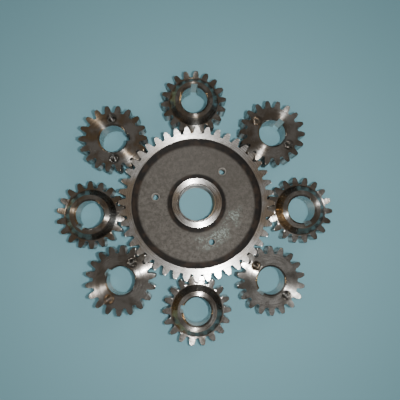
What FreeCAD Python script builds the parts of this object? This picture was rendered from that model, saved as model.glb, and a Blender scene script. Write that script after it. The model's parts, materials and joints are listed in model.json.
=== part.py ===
"""A centre gear with eight equal pinions in mesh around it, and the bush that the centre gear turns on.

Millimetres, +Z up.  The origin is on the centre gear's axis, in the plane that every gear stands on.
The teeth are 8 diametral pitch (module 3.175 mm) with a 20 degree pressure angle.  Four pinions stand
with their boss up and four with their boss down.
"""
import FreeCAD
import Part
import Sketcher

import math
import os

SIZES = {
    # teeth
    "gear_module": 3.175,
    "pressure_angle": 20.0,
    "dedendum_factor": 1.25,
    "tip_rounding": 0.35,
    "centre_teeth": 44,
    "pinion_teeth": 18,
    "centre_distance": 98.9,
    "edge_break": 0.5,
    # drilled holes
    "countersink_angle": 90.0,
    "drill_point_angle": 118.0,
    # centre gear
    "rim_width": 22.225,
    "recess_depth": 6.4,
    "recess_radius": 60.8,
    "recess_draft": 1.6,
    "recess_fillet": 4.5,
    "hub_radius": 23.3,
    "hub_draft": 0.8,
    "hub_fillet": 1.5,
    "hub_top": 20.0,
    "gear_bore_radius": 17.8,
    "web_hole_count": 3,
    "web_hole_circle": 78.4,
    "web_hole_diameter": 5.6,
    "web_hole_mouth": 9.0,
    "first_web_hole": 51.5,
    # bush
    "bush_clearance": 0.04,
    "bush_bore_radius": 16.55,
    "bush_length": 19.4,
    "bush_edge_break": 0.4,
    # pinion
    "pinion_height": 22.225,
    "face_width": 15.875,
    "boss_base_radius": 23.5,
    "boss_top_radius": 18.0,
    "bore_radius": 12.7,
    "bore_edge_break": 1.5,
    "key_width": 6.35,
    "key_reach": 15.6,
    "puller_circle": 38.1,
    "puller_diameter": 6.5,
    "puller_mouth": 9.0,
    "puller_depth": 8.0,
}

# Where each pinion lies around the centre gear, where its keyway points, and which way up it lies.
PINIONS = {
    "pinion_east": {"bearing": -3.4, "keyway": 292.0, "boss_up": True},
    "pinion_northeast": {"bearing": 43.1, "keyway": 53.0, "boss_up": False},
    "pinion_north": {"bearing": 91.7, "keyway": 89.0, "boss_up": True},
    "pinion_northwest": {"bearing": 142.8, "keyway": 5.0, "boss_up": False},
    "pinion_west": {"bearing": 186.6, "keyway": 234.0, "boss_up": True},
    "pinion_southwest": {"bearing": 225.9, "keyway": 148.0, "boss_up": False},
    "pinion_south": {"bearing": 270.2, "keyway": 170.0, "boss_up": True},
    "pinion_southeast": {"bearing": 313.6, "keyway": 226.0, "boss_up": False},
}

Z_AXIS = FreeCAD.Vector(0, 0, 1)
FLANK_POINTS = 7
# The lowest flank point stays this factor outside the base circle, where an involute begins.
ABOVE_BASE = 1.0005
# Tooth spaces are cut out to this far beyond the tips, in mm.
CUTTER_CLEARANCE = 2.0
# Where the middle of a rounded tooth corner lies: this share of the rounding in from both its ends.
CORNER_MIDDLE = 0.3
# A cut counts if it takes at least this much, in mm3.
SMALLEST_CUT = 1.0
# Two places or sizes are the same within this, in mm.
SAME_PLACE = 1e-3

doc = FreeCAD.newDocument("planetary_gear_set")
sheet = doc.addObject("Spreadsheet::Sheet", "sizes")
for row, (alias, value) in enumerate(SIZES.items(), start=1):
    sheet.set(f"A{row}", alias)
    sheet.set(f"B{row}", str(value))
    sheet.setAlias(f"B{row}", alias)
doc.recompute()


def size(expression):
    """The present value of an expression in the sheet's aliases."""
    value = sheet.evalExpression(expression)
    return float(getattr(value, "Value", value))


def origin_item(body, role):
    """One of the body's own origin planes or axes."""
    return next(item for item in body.Origin.OriginFeatures if item.Role == role)


def new_body(name):
    body = doc.addObject("PartDesign::Body", name)
    body.Label = name
    return body


def new_sketch(body, name, role):
    """An empty sketch on one of the body's own origin planes."""
    sketch = body.newObject("Sketcher::SketchObject", name)
    sketch.AttachmentSupport = [(origin_item(body, role), "")]
    sketch.MapMode = "FlatFace"
    return sketch


def pin_to_sheet(sketch, constraint, expression):
    """Add a dimension to the sketch and bind it to an expression in the sheet's aliases."""
    index = sketch.addConstraint(constraint)
    sketch.setExpression(f"Constraints[{index}]", expression)


def pin_point(sketch, geometry, point, x, y):
    """Fix one point of a sketch at two sheet expressions.  Zero puts it on the axis itself."""
    if x == "0":
        sketch.addConstraint(Sketcher.Constraint("PointOnObject", geometry, point, -2))
    else:
        pin_to_sheet(sketch, Sketcher.Constraint("DistanceX", -1, 1, geometry, point, size(x)), x)
    if y == "0":
        sketch.addConstraint(Sketcher.Constraint("PointOnObject", geometry, point, -1))
    else:
        pin_to_sheet(sketch, Sketcher.Constraint("DistanceY", -1, 1, geometry, point, size(y)), y)


def section_sketch(body, name, corners, role="XZ_Plane"):
    """A closed outline of straight lines.  Both coordinates of every corner are sheet expressions."""
    sketch = new_sketch(body, name, role)
    bound = [(x.replace("#", "sizes."), y.replace("#", "sizes.")) for x, y in corners]
    points = [FreeCAD.Vector(size(x), size(y), 0) for x, y in bound]
    following = points[1:] + points[:1]
    for start, end in zip(points, following):
        sketch.addGeometry(Part.LineSegment(start, end))
    last = len(points) - 1
    for line in range(len(points)):
        before = line - 1 if line else last
        sketch.addConstraint(Sketcher.Constraint("Coincident", before, 2, line, 1))
    for line, (x, y) in enumerate(bound):
        pin_point(sketch, line, 1, x, y)
    return sketch


def turn(body, name, corners):
    """Revolve a section, given as (radius, height) corners, about the body's Z axis."""
    sketch = section_sketch(body, f"{name}_section", corners)
    turned = body.newObject("PartDesign::Revolution", name)
    turned.Profile = sketch
    turned.ReferenceAxis = (sketch, ["V_Axis"])
    turned.Angle = 360.0
    doc.recompute()


def must_have_cut(body, volume_before, what):
    """A cut that points away from the body leaves it whole without a word, so it is checked."""
    doc.recompute()
    if body.Shape.Volume > volume_before - SMALLEST_CUT:
        raise RuntimeError(f"{what} cut nothing from {body.Label}")


def cut_through(body, name, sketch):
    """Pocket a sketch right through the body, both ways from the sketch's plane."""
    volume_before = body.Shape.Volume
    pocket = body.newObject("PartDesign::Pocket", name)
    pocket.Profile = sketch
    pocket.Type = "ThroughAll"
    pocket.Midplane = True
    must_have_cut(body, volume_before, name)
    return pocket


def pattern_about_axis(body, name, feature, count_expression):
    """Repeat a feature evenly around the body's Z axis."""
    volume_before = body.Shape.Volume
    pattern = body.newObject("PartDesign::PolarPattern", name)
    pattern.Originals = [feature]
    pattern.Axis = (origin_item(body, "Z_Axis"), [""])
    pattern.Angle = 360.0
    pattern.setExpression("Occurrences", count_expression)
    body.Tip = pattern
    must_have_cut(body, volume_before, name)


def turned_by(point, angle):
    """A point in the XY plane turned about the origin."""
    return FreeCAD.Vector(
        point.x * math.cos(angle) - point.y * math.sin(angle),
        point.x * math.sin(angle) + point.y * math.cos(angle),
        0,
    )


def polar(radius, angle):
    return FreeCAD.Vector(radius * math.cos(angle), radius * math.sin(angle), 0)


def mirrored(point):
    return FreeCAD.Vector(point.x, -point.y, 0)


def flank(teeth):
    """Points along the upper flank of the tooth space that is centred on +X, from root to tip."""
    module = size("sizes.gear_module")
    pressure = math.radians(size("sizes.pressure_angle"))
    pitch_radius = module * teeth / 2
    base_radius = pitch_radius * math.cos(pressure)
    root_radius = pitch_radius - module * size("sizes.dedendum_factor")
    tip_radius = pitch_radius + module

    def space_half_angle(radius):
        roll = math.acos(base_radius / radius)
        return math.pi / (2 * teeth) + math.tan(roll) - roll - (math.tan(pressure) - pressure)

    lowest = max(base_radius * ABOVE_BASE, root_radius)
    highest = tip_radius - size("sizes.tip_rounding")
    points = []
    for step in range(FLANK_POINTS):
        radius = lowest + (highest - lowest) * step / (FLANK_POINTS - 1)
        points.append(polar(radius, space_half_angle(radius)))
    return points, root_radius, tip_radius


def tooth_space_sketch(body, teeth, offset):
    """One tooth space: two involute flanks, rounded tooth tips, and a round root.

    The space is centred half a pitch from offset, so a tooth is centred on offset.
    """
    upper, root_radius, tip_radius = flank(teeth)
    pitch_angle = 2 * math.pi / teeth
    swing = offset + pitch_angle / 2

    rounding = size("sizes.tip_rounding")
    flank_end = upper[-1]
    flank_end_angle = math.atan2(flank_end.y, flank_end.x)
    rounding_angle = rounding / tip_radius
    land_angle = flank_end_angle + rounding_angle
    tip_middle = polar(
        tip_radius - CORNER_MIDDLE * rounding,
        flank_end_angle + CORNER_MIDDLE * rounding_angle,
    )
    land_start = polar(tip_radius, land_angle)
    outside = polar(tip_radius + CUTTER_CLEARANCE, land_angle)

    root_bottom = FreeCAD.Vector(root_radius, 0, 0)
    lower = [mirrored(point) for point in upper]

    def placed(points):
        return [turned_by(point, swing) for point in points]

    outline = []
    for flank_points in (upper, lower):
        curve = Part.BSplineCurve()
        curve.interpolate(placed(flank_points))
        outline.append(curve)
    upper_corner = [flank_end, tip_middle, land_start]
    lower_corner = [mirrored(point) for point in upper_corner]
    for arc_points in (upper_corner, lower_corner, [lower[0], root_bottom, upper[0]]):
        outline.append(Part.Arc(*placed(arc_points)))
    open_end = [land_start, outside, mirrored(outside), mirrored(land_start)]
    for line_start, line_end in zip(open_end, open_end[1:]):
        outline.append(Part.LineSegment(*placed((line_start, line_end))))

    sketch = new_sketch(body, "tooth_space", "XY_Plane")
    for curve in outline:
        sketch.addGeometry(curve)
    return sketch


def cut_teeth(body, teeth_alias, offset=0.0):
    """Cut every tooth space into the turned blank."""
    teeth = int(size(f"sizes.{teeth_alias}"))
    sketch = tooth_space_sketch(body, teeth, offset)
    space = cut_through(body, "first_space", sketch)
    pattern_about_axis(body, "all_spaces", space, f"sizes.{teeth_alias}")


def drill(body, name, sketch, diameter, mouth, depth=None):
    """Drill countersunk holes up into the body from the XY plane, or right through it."""
    volume_before = body.Shape.Volume
    hole = body.newObject("PartDesign::Hole", name)
    hole.Profile = sketch
    hole.setExpression("Diameter", diameter)
    hole.HoleCutType = "Countersink"
    hole.HoleCutCustomValues = True
    hole.setExpression("HoleCutDiameter", mouth)
    hole.HoleCutCountersinkAngle = size("sizes.countersink_angle")
    if depth:
        hole.DepthType = "Dimension"
        hole.DrillPoint = "Angled"
        hole.DrillPointAngle = size("sizes.drill_point_angle")
        hole.setExpression("Depth", depth)
        hole.Reversed = True
    else:
        hole.DepthType = "ThroughAll"
    must_have_cut(body, volume_before, name)
    return hole


def add_circle(sketch, centre_x, centre_y, diameter):
    """Add a circle whose centre and diameter are sheet expressions."""
    centre = FreeCAD.Vector(size(centre_x), size(centre_y), 0)
    index = sketch.addGeometry(Part.Circle(centre, Z_AXIS, size(diameter) / 2))
    pin_point(sketch, index, 3, centre_x, centre_y)
    pin_to_sheet(sketch, Sketcher.Constraint("Diameter", index, size(diameter)), diameter)


def circular_edges(shape, radius, height):
    """Names of the full circles of this radius, centred on the Z axis, at this height."""
    names = []
    for number, edge in enumerate(shape.Edges, start=1):
        curve = edge.Curve
        if not isinstance(curve, Part.Circle):
            continue
        on_axis = math.hypot(curve.Center.x, curve.Center.y) < SAME_PLACE
        same_size = abs(curve.Radius - radius) < SAME_PLACE
        same_height = abs(curve.Center.z - height) < SAME_PLACE
        if on_axis and same_size and same_height:
            names.append(f"Edge{number}")
    return names


def fillet_ring(body, name, circles, radius_expression):
    """Round the ring-shaped corners given as (radius, height) pairs."""
    base = body.Tip
    names = []
    for radius, height in circles:
        names += circular_edges(base.Shape, radius, height)
    if len(names) < len(circles):
        raise RuntimeError(f"{name} found only {len(names)} of {len(circles)} corners")
    fillet = body.newObject("PartDesign::Fillet", name)
    fillet.Base = (base, names)
    fillet.setExpression("Radius", radius_expression)
    doc.recompute()


def make_centre_gear():
    """A forged blank, recessed on both sides, with a plain bored hub and three holes in its web."""
    body = new_body("centre_gear")
    tip = "(#gear_module * (#centre_teeth / 2 + 1))"
    web_top = "(#rim_width - #recess_depth)"
    turn(body, "blank", [
        ("#gear_bore_radius", "#edge_break"),
        ("#gear_bore_radius + #edge_break", "0"),
        ("#hub_radius", "0"),
        ("#hub_radius + #hub_draft", "#recess_depth"),
        ("#recess_radius - #recess_draft", "#recess_depth"),
        ("#recess_radius", "0"),
        (f"{tip} - #edge_break", "0"),
        (tip, "#edge_break"),
        (tip, "#rim_width - #edge_break"),
        (f"{tip} - #edge_break", "#rim_width"),
        ("#recess_radius", "#rim_width"),
        ("#recess_radius - #recess_draft", web_top),
        ("#hub_radius + #hub_draft", web_top),
        ("#hub_radius", "#hub_top"),
        ("#gear_bore_radius + #edge_break", "#hub_top"),
        ("#gear_bore_radius", "#hub_top - #edge_break"),
    ])
    web_levels = (size("sizes.recess_depth"), size("sizes.rim_width - sizes.recess_depth"))
    rim_foot = size("sizes.recess_radius - sizes.recess_draft")
    hub_foot = size("sizes.hub_radius + sizes.hub_draft")
    fillet_ring(body, "rim_fillets", [(rim_foot, z) for z in web_levels], "sizes.recess_fillet")
    fillet_ring(body, "hub_fillets", [(hub_foot, z) for z in web_levels], "sizes.hub_fillet")

    first = "sizes.first_web_hole * 1 deg"
    sketch = new_sketch(body, "first_web_hole", "XY_Plane")
    on_web = FreeCAD.Vector(0, 0, web_levels[1])
    sketch.AttachmentOffset = FreeCAD.Placement(on_web, FreeCAD.Rotation())
    sketch.setExpression("AttachmentOffset.Base.z", "sizes.rim_width - sizes.recess_depth")
    add_circle(
        sketch,
        f"sizes.web_hole_circle / 2 * cos({first})",
        f"sizes.web_hole_circle / 2 * sin({first})",
        "sizes.web_hole_diameter",
    )
    doc.recompute()
    hole = drill(body, "web_hole", sketch, "sizes.web_hole_diameter", "sizes.web_hole_mouth")
    pattern_about_axis(body, "web_holes", hole, "sizes.web_hole_count")
    cut_teeth(body, "centre_teeth")
    return body


def make_bush():
    """A thin-walled sleeve that stands in the centre gear's bore."""
    body = new_body("centre_bush")
    outer = "(#gear_bore_radius - #bush_clearance)"
    inner = "#bush_bore_radius"
    turn(body, "sleeve", [
        (inner, "#bush_edge_break"),
        (f"{inner} + #bush_edge_break", "0"),
        (f"{outer} - #bush_edge_break", "0"),
        (outer, "#bush_edge_break"),
        (outer, "#bush_length - #bush_edge_break"),
        (f"{outer} - #bush_edge_break", "#bush_length"),
        (f"{inner} + #bush_edge_break", "#bush_length"),
        (inner, "#bush_length - #bush_edge_break"),
    ])
    return body


def mesh_angle(bearing):
    """Angle of a pinion tooth centre when the pinion at this bearing meshes with the centre gear.

    The centre gear has a tooth centred on +X.  Along the line of centres, a tooth centre of the one
    faces a space centre of the other, and equal arcs of both pitch circles roll past each other.
    """
    centre_pitch = 360.0 / size("sizes.centre_teeth")
    pinion_pitch = 360.0 / size("sizes.pinion_teeth")
    past_tooth = bearing % centre_pitch
    return bearing + 180.0 + pinion_pitch / 2 + past_tooth * pinion_pitch / centre_pitch


def make_pinion(name, bearing, keyway, boss_up):
    """A turned blank with a tapered boss, a keyed bore, two puller holes and its teeth.

    The keyway points along the body's own +X and the flat face lies on its own XY plane.  The keyways
    aren't timed to the teeth, so each pinion's teeth have their own offset from its keyway.
    """
    body = new_body(name)
    tip = "(#gear_module * (#pinion_teeth / 2 + 1))"
    turn(body, "blank", [
        ("#bore_radius", "#bore_edge_break"),
        ("#bore_radius + #bore_edge_break", "0"),
        (f"{tip} - #edge_break", "0"),
        (tip, "#edge_break"),
        (tip, "#face_width - #edge_break"),
        (f"{tip} - #edge_break", "#face_width"),
        ("#boss_base_radius", "#face_width"),
        ("#boss_top_radius", "#pinion_height"),
        ("#bore_radius + #bore_edge_break", "#pinion_height"),
        ("#bore_radius", "#pinion_height - #bore_edge_break"),
    ])

    keyway_sketch = section_sketch(body, "keyway_outline", [
        ("#bore_radius / 2", "-#key_width / 2"),
        ("#key_reach", "-#key_width / 2"),
        ("#key_reach", "#key_width / 2"),
        ("#bore_radius / 2", "#key_width / 2"),
    ], role="XY_Plane")
    cut_through(body, "keyway", keyway_sketch)

    diameter = "sizes.puller_diameter"
    puller_sketch = new_sketch(body, "puller_centres", "XY_Plane")
    for side in ("", "-"):
        add_circle(puller_sketch, "0", f"{side}sizes.puller_circle / 2", diameter)
    doc.recompute()
    drill(body, "puller_holes", puller_sketch, diameter, "sizes.puller_mouth", "sizes.puller_depth")

    tooth_from_keyway = mesh_angle(bearing) - keyway
    offset = tooth_from_keyway if boss_up else -tooth_from_keyway
    cut_teeth(body, "pinion_teeth", math.radians(offset))

    facing = FreeCAD.Rotation() if boss_up else FreeCAD.Rotation(FreeCAD.Vector(1, 0, 0), 180)
    turned = FreeCAD.Rotation(Z_AXIS, keyway)
    body.Placement = FreeCAD.Placement(FreeCAD.Vector(), turned.multiply(facing))
    body.setExpression("Placement.Base.x", f"sizes.centre_distance * cos({bearing} deg)")
    body.setExpression("Placement.Base.y", f"sizes.centre_distance * sin({bearing} deg)")
    if not boss_up:
        body.setExpression("Placement.Base.z", "sizes.pinion_height")
    doc.recompute()
    return body


def check_document():
    """Stop if any object failed to build."""
    for item in doc.Objects:
        if "Invalid" in item.State or "Error" in item.State:
            raise RuntimeError(f"{item.Label} did not build: {item.State}")
        shape = getattr(item, "Shape", None)
        if item.isDerivedFrom("PartDesign::Body") and (shape.isNull() or not shape.isValid()):
            raise RuntimeError(f"{item.Label} has no valid shape")


def export(bodies):
    os.makedirs("parts", exist_ok=True)
    for body in bodies:
        body.Shape.exportStep(f"parts/{body.Label}.step")
        print(body.Label, round(body.Shape.Volume), "mm3,", len(body.Shape.Solids), "solid")


bodies = [make_centre_gear(), make_bush()]
for pinion_name, pinion in PINIONS.items():
    bodies.append(make_pinion(pinion_name, **pinion))
doc.recompute()
check_document()
export(bodies)
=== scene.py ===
"""Looks for the gear set: worn, oiled steel on a pale floor, lit by a lamp beside the lens and soft fills.

The CAD nodes keep their shape and place.  Each gets rounded edges and a material that knows its own
axis, so that turned faces, forged web, ground bores and hobbed teeth sit where they belong.
"""
import json
import math

import bpy
from mathutils import Matrix, Vector

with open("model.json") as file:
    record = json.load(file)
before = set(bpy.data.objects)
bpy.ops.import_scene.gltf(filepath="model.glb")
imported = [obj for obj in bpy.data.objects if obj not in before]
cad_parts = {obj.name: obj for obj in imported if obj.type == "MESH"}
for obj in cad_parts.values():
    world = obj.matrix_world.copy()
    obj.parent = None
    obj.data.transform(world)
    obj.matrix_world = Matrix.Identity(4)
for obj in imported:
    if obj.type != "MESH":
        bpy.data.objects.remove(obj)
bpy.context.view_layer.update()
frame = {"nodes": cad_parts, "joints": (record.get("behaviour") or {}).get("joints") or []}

MM = 0.001

# The object, in metres
PINION_BORE = 12.7 * MM
PINION_ROOT = 24.6 * MM
PINION_PITCH = 28.6 * MM
RECESS_EDGE = 60.8 * MM
WEB_EDGE = 54.9 * MM
HUB_EDGE = 23.3 * MM
PULLER_HOLE_REACH = 19.05 * MM
PULLER_HOLE_MOUTH = 4.5 * MM
# The bare metal in the mouth of a web hole ends a little inside the drilled edge.
WEB_HOLE_BARE = 4.1 * MM
WEB_HOLE_REACH = 39.2 * MM
WEB_HOLE_BEARINGS = (51.5, 171.5, 291.5)
EDGE_ROUNDING = 0.2 * MM
SHARP_ANGLE = math.radians(32)

FLOOR_SIZE = 30.0
FLOOR_COLOUR = (0.165, 0.335, 0.385, 1.0)
# The floor lies this far under the set, so that no two surfaces lie in one plane.
FLOOR_GAP = 0.1 * MM

# How much brown each pinion's faces carry, from 0 to 1, partly oil film and partly a painted reflection of
# the warm room, and the bearing of its keyway in degrees.
# The puller holes lie a quarter turn to each side of the keyway.
PINIONS = {
    "pinion_east": (0.30, 292.0),
    "pinion_northeast": (0.30, 53.0),
    "pinion_north": (0.60, 89.0),
    "pinion_northwest": (1.0, 5.0),
    "pinion_west": (0.75, 234.0),
    "pinion_southwest": (0.25, 148.0),
    "pinion_south": (0.15, 170.0),
    "pinion_southeast": (0.0, 226.0),
}

# The camera hangs over the set, a little south-west of its middle, and is level east to west.
CAMERA_PLACE = Vector((-17.1, -36.6, 385.7)) * MM
CAMERA_TARGET = Vector((3.9, 4.8, 0.0)) * MM
CAMERA_LENS = 35.46
SENSOR_WIDTH = 36.0
FLASH_OFFSET = Vector((52.0, -2.0, 0.0)) * MM
ROOM_COLOUR = (0.41, 0.38, 0.35, 1.0)
ROOM_STRENGTH = 0.35


class Shader:
    """A node material, built up in short steps.

    Values are numbers or the output sockets of other nodes.
    """

    def __init__(self, name):
        self.material = bpy.data.materials.new(name)
        self.material.use_nodes = True
        self.tree = self.material.node_tree
        self.tree.nodes.clear()

    def add(self, kind, inputs=None, **settings):
        node = self.tree.nodes.new(kind)
        for key, value in settings.items():
            setattr(node, key, value)
        for key, value in (inputs or {}).items():
            self.put(node.inputs[key], value)
        return node

    def put(self, socket, value):
        if isinstance(value, bpy.types.NodeSocket):
            self.tree.links.new(value, socket)
        else:
            socket.default_value = value

    def math(self, operation, first, second=0.0):
        node = self.add("ShaderNodeMath", {0: first, 1: second}, operation=operation)
        return node.outputs[0]

    def product(self, *factors):
        result = factors[0]
        for factor in factors[1:]:
            result = self.math("MULTIPLY", result, factor)
        return result

    def vector(self, operation, first, second=(0.0, 0.0, 0.0)):
        node = self.add("ShaderNodeVectorMath", {0: first, 1: second}, operation=operation)
        gives_number = operation in ("LENGTH", "DISTANCE", "DOT_PRODUCT")
        return node.outputs["Value" if gives_number else "Vector"]

    def step(self, value, low, high):
        """0 below low, 1 above high, smooth between.  Low above high turns it round."""
        inputs = {"Value": value, "From Min": low, "From Max": high}
        return self.add("ShaderNodeMapRange", inputs, interpolation_type="SMOOTHSTEP").outputs["Result"]

    def between(self, value, low, high, soft):
        """1 where value lies between low and high."""
        rising = self.step(value, low - soft, low + soft)
        falling = self.step(value, high + soft, high - soft)
        return self.product(rising, falling)

    def scaled(self, value, low, high):
        """Stretches 0..1 to low..high."""
        inputs = {"Value": value, "To Min": low, "To Max": high}
        return self.add("ShaderNodeMapRange", inputs).outputs["Result"]

    def mix(self, factor, first, second):
        node = self.add("ShaderNodeMix", {"Factor": factor}, data_type="RGBA")
        for socket, value in zip([s for s in node.inputs if s.type == "RGBA"], (first, second)):
            self.put(socket, value)
        return next(s for s in node.outputs if s.type == "RGBA")

    def mix_value(self, factor, first, second):
        node = self.add("ShaderNodeMix", {"Factor": factor}, data_type="FLOAT")
        for socket, value in zip(node.inputs[2:4], (first, second)):
            self.put(socket, value)
        return node.outputs[0]

    def noise(self, vector, scale, detail=3.0, roughness=0.55, offset=0.0):
        place = self.vector("ADD", vector, (offset, offset * 0.37, -offset * 0.71))
        inputs = {"Vector": place, "Scale": scale, "Detail": detail, "Roughness": roughness}
        return self.add("ShaderNodeTexNoise", inputs).outputs[0]

    def scratches(self, vector, turn, offset):
        """Thin straight marks at one angle, 1 in a mark and 0 between."""
        inputs = {"Vector": vector, "Rotation": (0.0, 0.0, turn), "Scale": (30.0, 1500.0, 30.0)}
        drawn_out = self.add("ShaderNodeMapping", inputs).outputs[0]
        return self.step(self.noise(drawn_out, 1.0, 2.0, offset=offset), 0.70, 0.76)

    def bump(self, height, distance, strength, normal):
        inputs = {"Height": height, "Distance": distance, "Strength": strength, "Normal": normal}
        return self.add("ShaderNodeBump", inputs).outputs["Normal"]

    def finish(self, surface):
        self.add("ShaderNodeOutputMaterial", {"Surface": surface})
        return self.material


class Turned:
    """Coordinates round one gear's own axis, for a shader: radius, direction and ring noise."""

    def __init__(self, shader, axis_place, seed):
        coordinates = shader.add("ShaderNodeTexCoord")
        self.shader = shader
        self.seed = seed
        self.place = coordinates.outputs["Object"]
        local = shader.vector("SUBTRACT", self.place, (axis_place.x, axis_place.y, 0.0))
        self.flat = shader.vector("MULTIPLY", local, (1.0, 1.0, 0.0))
        self.radius = shader.vector("LENGTH", self.flat)
        self.direction = shader.vector("NORMALIZE", self.flat)
        self.normal = coordinates.outputs["Normal"]
        up = shader.add("ShaderNodeSeparateXYZ", {0: self.normal}).outputs[2]
        self.upward = shader.math("ABSOLUTE", up)

    def rings(self, per_metre, wander=1.3, detail=2.0):
        """Noise drawn out into rings round the axis, as a cutting tool leaves them."""
        shader = self.shader
        around = shader.vector("MULTIPLY", self.direction, (wander, wander, 0.0))
        outwards = shader.math("MULTIPLY", self.radius, per_metre)
        lift = shader.add("ShaderNodeCombineXYZ", {2: outwards}).outputs[0]
        return shader.noise(shader.vector("ADD", around, lift), 1.0, detail, offset=self.seed)

    def grooved(self, rings, slope):
        """The surface's normal, tipped along the radius by the sides of fine turning grooves."""
        shader = self.shader
        tip = shader.scaled(rings, -slope, slope)
        tipped = shader.vector("ADD", self.normal, shader.vector("MULTIPLY", self.direction, tip))
        settings = {"vector_type": "NORMAL", "convert_from": "OBJECT", "convert_to": "WORLD"}
        turned = shader.add("ShaderNodeVectorTransform", {0: tipped}, **settings).outputs[0]
        return shader.vector("NORMALIZE", turned)

    def facing(self, bearing):
        """1 on the side at this bearing in degrees, -1 opposite."""
        angle = math.radians(bearing)
        return self.shader.vector("DOT_PRODUCT", self.direction, (math.cos(angle), math.sin(angle), 0.0))

    def distance_from(self, reach, bearings):
        """Distance in plan to the nearest of the places at this reach and these bearings."""
        nearest = None
        for bearing in bearings:
            angle = math.radians(bearing)
            spot = (reach * math.cos(angle), reach * math.sin(angle), 0.0)
            distance = self.shader.vector("DISTANCE", self.flat, spot)
            nearest = self.shader.math("MINIMUM", nearest, distance) if nearest else distance
        return nearest


STEEL_SHADE = (0.235, 0.222, 0.200, 1.0)
STEEL_GREY = (0.540, 0.530, 0.505, 1.0)
STEEL_PALE = (0.740, 0.735, 0.720, 1.0)
STEEL_COOL = (0.400, 0.430, 0.440, 1.0)
BUSH_SHADE = (0.150, 0.146, 0.138, 1.0)
BUSH_GREY = (0.290, 0.292, 0.285, 1.0)
# Brown for oil film and for painted reflections of the warm room.
BROWN_OIL_AND_REFLECTION = (0.400, 0.300, 0.195, 1.0)
# Amber used only as a painted reflection of the warm room on the pinion cones.
WARM_REFLECTION_AMBER = (0.560, 0.370, 0.190, 1.0)
GRIME = (0.070, 0.058, 0.048, 1.0)
# Dark forge scale, also used as painted shade on the recess wall and as a painted shadow round the foot of
# the hub.
SCALE_DARK_AND_SHADE = (0.007, 0.006, 0.005, 1.0)
# Mid forge scale, also used as painted shade on one side of the web.
SCALE_MID_AND_SHADE = (0.066, 0.060, 0.052, 1.0)
SCALE_PALE = (0.116, 0.108, 0.095, 1.0)
# Rusty forge scale, also used as painted shade on the recess wall and as a painted shadow round the foot
# of the hub.
SCALE_RUST_AND_SHADE = (0.027, 0.018, 0.012, 1.0)
CHALK_GREEN = (0.300, 0.370, 0.340, 1.0)
# How far the sides of the turning grooves lean.
GROOVE_SLOPE = 0.40
# Grooves that run round the axis draw a highlight out along the radius.
ANISOTROPY = 0.98
QUARTER_TURN = 0.25
QUARTER_CIRCLE = 90.0
SPECULAR_LEVEL = 0.25
# A normal this upright belongs to a flat turned face.
UPRIGHT_FROM = 0.90
UPRIGHT_FULL = 0.98


def steel(shader, colour, roughness, normal, metallic=1.0):
    """Oiled steel whose grooves run round the gear's axis."""
    tangent = shader.add("ShaderNodeTangent", direction_type="RADIAL", axis="Z").outputs[0]
    inputs = {
        "Base Color": colour,
        "Metallic": metallic,
        "Roughness": roughness,
        "Anisotropic": ANISOTROPY,
        "Anisotropic Rotation": QUARTER_TURN,
        "Specular IOR Level": SPECULAR_LEVEL,
        "Normal": normal,
        "Tangent": tangent,
    }
    return shader.add("ShaderNodeBsdfPrincipled", inputs).outputs[0]


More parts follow.
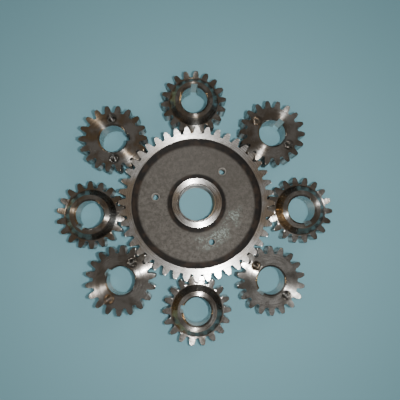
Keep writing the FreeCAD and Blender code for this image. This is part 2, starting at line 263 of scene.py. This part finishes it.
def pinion_material(name, axis_place, oil_and_warm_reflection, keyway, seed):
    """Turned faces with concentric marks and brown blotches, partly oil film and partly a painted
    reflection of the warm room; cones with a painted warm reflection on one side; a cleaner bore, and
    darker hobbed teeth.
    """
    shader = Shader(name)
    turned = Turned(shader, axis_place, seed)
    blotches = shader.noise(turned.place, 62.0, 4.0, offset=seed)
    smears = shader.noise(turned.place, 150.0, 4.0, 0.6, offset=seed + 2.0)
    grain = shader.noise(turned.place, 900.0, 3.0, offset=seed)
    fine_rings = turned.rings(2600.0)
    broad_rings = turned.rings(520.0, wander=0.5)
    scratches = shader.scratches(turned.place, seed, seed)

    on_face = shader.step(turned.upward, UPRIGHT_FROM, UPRIGHT_FULL)
    on_cone = shader.between(turned.upward, 0.45, 0.88, 0.05)
    in_bore = shader.step(turned.radius, PINION_BORE + 0.5 * MM, PINION_BORE + 0.2 * MM)
    on_teeth = shader.step(turned.radius, PINION_ROOT - 1.0 * MM, PINION_ROOT)
    at_pitch = shader.between(turned.radius, PINION_PITCH - 1.6 * MM, PINION_PITCH + 1.4 * MM, 0.6 * MM)

    face = shader.mix(shader.step(blotches, 0.34, 0.64), STEEL_SHADE, STEEL_GREY)
    # Brown blotches on the face, partly oil film and partly a painted reflection of the warm room.
    oil_and_reflection_blotches = shader.product(shader.step(blotches, 0.62, 0.36), oil_and_warm_reflection)
    face = shader.mix(oil_and_reflection_blotches, face, BROWN_OIL_AND_REFLECTION)
    face = shader.mix(shader.product(shader.step(fine_rings, 0.50, 0.75), 0.25), face, STEEL_PALE)
    face = shader.mix(shader.product(shader.step(smears, 0.58, 0.74), 0.45), face, GRIME)
    face = shader.mix(shader.product(scratches, 0.5), face, STEEL_PALE)

    cone = shader.mix(shader.step(blotches, 0.45, 0.75), STEEL_SHADE, STEEL_COOL)
    # Painted reflection of the warm room: amber blotches on the side of each cone that faces bearing 190
    # degrees.
    warm_reflection_cone_side = shader.step(turned.facing(190.0), 0.35, 0.95)
    cone = shader.mix(shader.product(warm_reflection_cone_side, shader.step(blotches, 0.38, 0.55)), cone, WARM_REFLECTION_AMBER)

    flank = shader.mix(shader.step(grain, 0.4, 0.7), STEEL_SHADE, STEEL_COOL)
    flank = shader.mix(shader.product(at_pitch, 0.5), flank, STEEL_PALE)
    wall = shader.mix(shader.step(blotches, 0.4, 0.6), STEEL_COOL, STEEL_GREY)
    side = shader.mix(on_teeth, STEEL_GREY, flank)
    side = shader.mix(in_bore, side, wall)
    side = shader.mix(on_cone, side, cone)
    colour = shader.mix(on_face, side, face)

    hole_bearings = (keyway + QUARTER_CIRCLE, keyway - QUARTER_CIRCLE)
    hole_distance = turned.distance_from(PULLER_HOLE_REACH, hole_bearings)
    # A darker ring round the mouth of each puller hole.
    dark_ring_from = PULLER_HOLE_MOUTH - 0.3 * MM
    dark_ring_to = PULLER_HOLE_MOUTH + 0.7 * MM
    round_hole = shader.between(hole_distance, dark_ring_from, dark_ring_to, 0.3 * MM)
    colour = shader.mix(shader.product(round_hole, 0.4), colour, GRIME)

    face_rough = shader.scaled(turned.rings(3900.0, wander=2.0), 0.05, 0.36)
    side_rough = shader.scaled(blotches, 0.16, 0.34)
    is_turned = shader.math("MAXIMUM", on_face, on_cone)
    roughness = shader.mix_value(is_turned, side_rough, face_rough)

    ring_marks = shader.math("ADD", fine_rings, shader.product(broad_rings, 2.0))
    marks = shader.math("ADD", ring_marks, shader.product(grain, 0.25))
    grooves = turned.grooved(fine_rings, GROOVE_SLOPE)
    normal = shader.bump(marks, 0.010 * MM, 0.4, grooves)
    return shader.finish(steel(shader, colour, roughness, normal))


def centre_gear_material(name, seed):
    """A machined rim and hub face with a painted warm reflection on its east and west sides, a near-black
    recess wall that is partly dark scale and partly painted shade, a painted shadow ring round the foot of
    the hub, and a rough forged web with painted shade on one side.
    """
    shader = Shader(name)
    turned = Turned(shader, Vector((0.0, 0.0, 0.0)), seed)
    mottle = shader.noise(turned.place, 330.0, 5.0, 0.7, offset=seed)
    patches = shader.noise(turned.place, 120.0, 4.0, 0.6, offset=seed)
    blotches = shader.noise(turned.place, 38.0, 3.0, offset=seed)
    grit = shader.noise(turned.place, 900.0, 4.0, 0.7, offset=seed)
    rings = turned.rings(4200.0, wander=2.0)
    scratches = shader.scratches(turned.place, 0.6, seed)

    in_recess = shader.between(turned.radius, HUB_EDGE + 0.1 * MM, RECESS_EDGE - 0.1 * MM, 0.12 * MM)
    # Masks for the recess wall, painted near-black as dark scale with painted shade, and for a painted
    # shadow ring round the foot of the hub.
    on_wall = shader.step(turned.radius, WEB_EDGE - 1.2 * MM, WEB_EDGE + 1.6 * MM)
    hub_shadow_ring = shader.step(turned.radius, HUB_EDGE + 5.6 * MM, HUB_EDGE + 3.4 * MM)
    on_face = shader.step(turned.upward, UPRIGHT_FROM, UPRIGHT_FULL)

    machined = shader.mix(shader.step(mottle, 0.36, 0.66), STEEL_GREY, STEEL_PALE)
    machined = shader.mix(shader.product(shader.step(patches, 0.50, 0.68), 0.45), machined, STEEL_SHADE)
    # Painted reflection of the warm room: brown blotches on the east and west sides of the machined faces.
    warm_reflection_sides = shader.step(shader.math("ABSOLUTE", turned.facing(0.0)), 0.30, 0.95)
    warm_reflection = shader.product(shader.step(blotches, 0.40, 0.64), warm_reflection_sides, 0.75)
    machined = shader.mix(warm_reflection, machined, BROWN_OIL_AND_REFLECTION)
    machined = shader.mix(shader.product(shader.step(grit, 0.56, 0.70), 0.40), machined, GRIME)
    machined = shader.mix(shader.product(scratches, 0.6), machined, STEEL_PALE)
    flank = shader.mix(shader.step(grit, 0.4, 0.7), STEEL_SHADE, STEEL_GREY)
    machined = shader.mix(on_face, flank, machined)

    forged = shader.mix(shader.step(mottle, 0.34, 0.68), SCALE_MID_AND_SHADE, SCALE_PALE)
    forged = shader.mix(shader.product(shader.step(patches, 0.45, 0.68), 0.35), forged, SCALE_MID_AND_SHADE)
    forged = shader.mix(shader.product(shader.step(grit, 0.55, 0.68), 0.7), forged, SCALE_DARK_AND_SHADE)
    # Painted shade: the web is darkened on the side at bearing 75 degrees, where the lamp's light falls
    # off.
    painted_shade_side = shader.step(turned.facing(75.0), -0.2, 1.0)
    forged = shader.mix(shader.product(painted_shade_side, 0.5), forged, SCALE_MID_AND_SHADE)
    chalk_reach = shader.between(turned.radius, 31.5 * MM, 44.0 * MM, 3.5 * MM)
    chalk_side = shader.step(turned.facing(-50.0), 0.62, 0.86)
    specks = shader.product(shader.step(grit, 0.46, 0.60), shader.step(patches, 0.40, 0.58), chalk_reach)
    forged = shader.mix(shader.product(specks, chalk_side, 0.75), forged, CHALK_GREEN)
    # Near-black for the recess wall, partly dark scale and partly painted shade, and painted shadow for
    # the ring at the foot of the hub.
    wall = shader.mix(shader.step(patches, 0.42, 0.66), SCALE_DARK_AND_SHADE, SCALE_RUST_AND_SHADE)
    shadowed = shader.math("MAXIMUM", on_wall, hub_shadow_ring)
    forged = shader.mix(shadowed, forged, wall)

    hole_distance = turned.distance_from(WEB_HOLE_REACH, WEB_HOLE_BEARINGS)
    in_hole = shader.step(hole_distance, WEB_HOLE_BARE, WEB_HOLE_BARE - 0.25 * MM)
    is_forged = shader.product(in_recess, shader.math("SUBTRACT", 1.0, in_hole))
    colour = shader.mix(is_forged, machined, forged)
    colour = shader.mix(in_hole, colour, STEEL_SHADE)

    machined_rough = shader.scaled(rings, 0.14, 0.40)
    machined_rough = shader.mix_value(in_hole, machined_rough, 0.55)
    forged_rough = shader.scaled(grit, 0.50, 0.80)
    roughness = shader.mix_value(is_forged, machined_rough, forged_rough)
    bare = shader.math("SUBTRACT", 1.0, shader.math("MAXIMUM", is_forged, in_hole))
    metallic = shader.scaled(bare, 0.1, 1.0)
    rough_height = shader.product(shader.math("ADD", patches, grit), is_forged)
    marks = shader.math("ADD", rough_height, shader.product(mottle, 0.08))
    normal = shader.bump(marks, 0.10 * MM, 0.6, turned.grooved(rings, 0.3))
    return shader.finish(steel(shader, colour, roughness, normal, metallic))


def bush_material(name, seed):
    """Dull turned steel with a painted warm reflection, in brown, on its east side."""
    shader = Shader(name)
    turned = Turned(shader, Vector((0.0, 0.0, 0.0)), seed)
    rings = turned.rings(2200.0)
    blotches = shader.noise(turned.place, 120.0, 3.0, offset=seed)
    colour = shader.mix(shader.step(blotches, 0.35, 0.65), BUSH_SHADE, BUSH_GREY)
    # Painted reflection of the warm room: brown on the east side.
    warm_reflection_east_side = shader.step(turned.facing(-15.0), 0.6, 0.95)
    colour = shader.mix(shader.product(warm_reflection_east_side, 0.8), colour, BROWN_OIL_AND_REFLECTION)
    roughness = shader.scaled(blotches, 0.32, 0.55)
    normal = shader.bump(rings, 0.01 * MM, 0.4, turned.grooved(rings, 0.2))
    return shader.finish(steel(shader, colour, roughness, normal))


def round_edges(piece):
    """Breaks every sharp edge of a CAD node a little, as handling does."""
    welded = piece.modifiers.new("corners_joined", "WELD")
    welded.merge_threshold = 0.002 * MM
    bevel = piece.modifiers.new("edges_rounded", "BEVEL")
    bevel.width = EDGE_ROUNDING
    bevel.segments = 2
    bevel.limit_method = "ANGLE"
    bevel.angle_limit = SHARP_ANGLE
    weighted = piece.modifiers.new("flat_faces_flat", "WEIGHTED_NORMAL")
    weighted.mode = "FACE_AREA"
    weighted.weight = 100


def dress(node_name, material):
    piece = frame["nodes"][node_name]
    piece.data.materials.clear()
    piece.data.materials.append(material)
    piece.data.shade_smooth()
    round_edges(piece)


def joint_place(body):
    joint = next(j for j in frame["joints"] if j["child"] == body)
    return Vector(joint["pos_m"])


def dress_everything():
    dress("centre_gear", centre_gear_material("centre_gear_steel", 3.0))
    dress("centre_bush", bush_material("bush_steel", 5.0))
    for number, (node_name, (oil_and_warm_reflection, keyway)) in enumerate(PINIONS.items()):
        seed = 11.0 + 3.7 * number
        axis_place = joint_place(node_name)
        dress(node_name, pinion_material(f"{node_name}_steel", axis_place, oil_and_warm_reflection, keyway, seed))


def make_floor():
    """A plain blue-grey floor."""
    bpy.ops.mesh.primitive_plane_add(size=FLOOR_SIZE, location=(0.0, 0.0, -FLOOR_GAP))
    floor = bpy.context.object
    floor.name = "floor"
    shader = Shader("floor_pale")
    inputs = {"Base Color": FLOOR_COLOUR, "Roughness": 0.9}
    surface = shader.add("ShaderNodeBsdfPrincipled", inputs).outputs[0]
    floor.data.materials.append(shader.finish(surface))


def aim(item, place, target, level=Vector((0.0, 1.0, 0.0))):
    """Puts item at place, looking at target, with its own X axis square to the level direction."""
    back = (place - target).normalized()
    right = level.cross(back).normalized()
    above = back.cross(right)
    turn = Matrix((right, above, back)).transposed()
    item.matrix_world = Matrix.Translation(place) @ turn.to_4x4()


def area_light(name, place, size, power, colour):
    data = bpy.data.lights.new(name, "AREA")
    data.shape = "DISK"
    data.size = size
    data.energy = power
    data.color = colour
    light = bpy.data.objects.new(name, data)
    bpy.context.scene.collection.objects.link(light)
    aim(light, Vector(place), Vector((0.0, 0.0, 0.0)))
    return light


def make_lights():
    """A small lamp beside the lens draws the bright streaks; broad ones fill the floor softly."""
    area_light("flash", CAMERA_PLACE + FLASH_OFFSET, 0.012, 1.12, (1.0, 0.98, 0.96))
    fills = [
        ("soft_overhead", (-0.01, -0.03, 0.46), 0.10, 0.7, (1.0, 1.0, 1.0)),
        ("soft_north_east", (0.75, 0.65, 0.75), 0.7, 2.4, (1.0, 0.98, 0.95)),
        ("soft_west", (-0.95, 0.15, 0.65), 0.7, 1.4, (0.95, 0.98, 1.0)),
        ("soft_south", (0.1, -1.0, 0.7), 0.7, 1.4, (1.0, 0.97, 0.93)),
    ]
    for name, place, size, power, colour in fills:
        area_light(name, place, size, power, colour).visible_glossy = False
    area_light("ceiling_glow", (0.42, -0.55, 1.30), 0.8, 0.55, (1.0, 1.0, 1.0))
    world = bpy.data.worlds.new("room")
    bpy.context.scene.world = world
    world.use_nodes = True
    background = world.node_tree.nodes["Background"]
    background.inputs["Color"].default_value = ROOM_COLOUR
    background.inputs["Strength"].default_value = ROOM_STRENGTH


def make_camera():
    data = bpy.data.cameras.new("camera")
    data.lens = CAMERA_LENS
    data.sensor_width = SENSOR_WIDTH
    data.clip_start = 0.01
    camera = bpy.data.objects.new("camera", data)
    bpy.context.scene.collection.objects.link(camera)
    aim(camera, CAMERA_PLACE, CAMERA_TARGET)
    bpy.context.scene.camera = camera


dress_everything()
make_floor()
make_lights()
make_camera()
